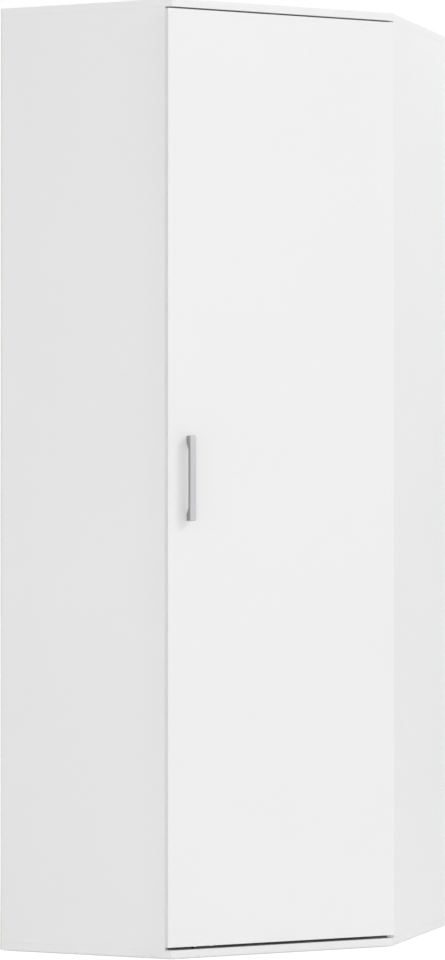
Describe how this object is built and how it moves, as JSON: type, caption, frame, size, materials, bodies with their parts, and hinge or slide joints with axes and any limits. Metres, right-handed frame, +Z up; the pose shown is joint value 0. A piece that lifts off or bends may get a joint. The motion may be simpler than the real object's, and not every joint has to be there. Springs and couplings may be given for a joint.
{
  "type": "corner wardrobe",
  "caption": "White corner wardrobe with one full-height door across its diagonal front, a bow handle, a hat shelf and a clothes rail",
  "frame": {"origin": "on the floor, in the middle of the closed wardrobe's box", "axes": "+Z up; the room walls are at -X and +Y; the door faces half way between +X and -Y"},
  "size_m": [0.7568, 0.7628, 1.99],
  "materials": {
    "white_melamine_board": "smooth white melamine face, matt",
    "white_hardboard": "white lacquer inside, raw brown fibre behind",
    "beech": "fluted, raw",
    "satin_aluminium": "satin, drawn along its length",
    "chromed_tube": "polished",
    "nickel_plated_steel": "nickel or zinc",
    "white_plastic": "moulded",
    "dark_plastic": "moulded, dark",
    "ferrite_magnet": "sintered, dark"
  },
  "bodies": {
    "carcass": {"back_nails": "nickel_plated_steel", "bottom_panel": "white_melamine_board", "cam_bolts": "nickel_plated_steel", "cam_covers": "white_plastic", "cam_locks": "nickel_plated_steel", "catch_bottom": "dark_plastic", "catch_magnets": "ferrite_magnet", "catch_screws": "nickel_plated_steel", "catch_top": "dark_plastic", "clothes_rail": "chromed_tube", "corner_post": "white_melamine_board", "dowels": "beech", "glide_1": "white_plastic", "glide_2": "white_plastic", "glide_3": "white_plastic", "glide_4": "white_plastic", "glide_5": "white_plastic", "hat_shelf": "white_melamine_board", "hinge_arm_1": "nickel_plated_steel", "hinge_arm_2": "nickel_plated_steel", "hinge_arm_3": "nickel_plated_steel", "hinge_arm_4": "nickel_plated_steel", "hinge_arm_screws": "nickel_plated_steel", "hinge_plate_1": "nickel_plated_steel", "hinge_plate_2": "nickel_plated_steel", "hinge_plate_3": "nickel_plated_steel", "hinge_plate_4": "nickel_plated_steel", "hinge_plate_screws": "nickel_plated_steel", "left_back_panel": "white_hardboard", "left_side_panel": "white_melamine_board", "left_wall_bracket": "nickel_plated_steel", "rail_end_caps": "white_plastic", "rail_hanger_left": "nickel_plated_steel", "rail_hanger_right": "nickel_plated_steel", "rail_hanger_screws": "nickel_plated_steel", "right_back_panel": "white_hardboard", "right_side_panel": "white_melamine_board", "right_wall_bracket": "nickel_plated_steel", "shelf_supports": "nickel_plated_steel", "top_panel": "white_melamine_board", "wall_bracket_screws": "nickel_plated_steel"},
    "door": {"door_panel": "white_melamine_board", "handle": "satin_aluminium", "handle_screws": "nickel_plated_steel", "hinge_cup_1": "nickel_plated_steel", "hinge_cup_2": "nickel_plated_steel", "hinge_cup_3": "nickel_plated_steel", "hinge_cup_4": "nickel_plated_steel", "hinge_cup_screws": "nickel_plated_steel", "hinge_pins": "nickel_plated_steel", "strike_plate_screws": "nickel_plated_steel", "strike_plates": "nickel_plated_steel"}
  },
  "joints": [
    {"name": "door_hinge", "type": "hinge", "parent": "carcass", "child": "door", "pos_m": [0.36564, -0.0118, 0.9975], "axis": [0, 0, 1], "range_deg": [0, 95]}
  ]
}
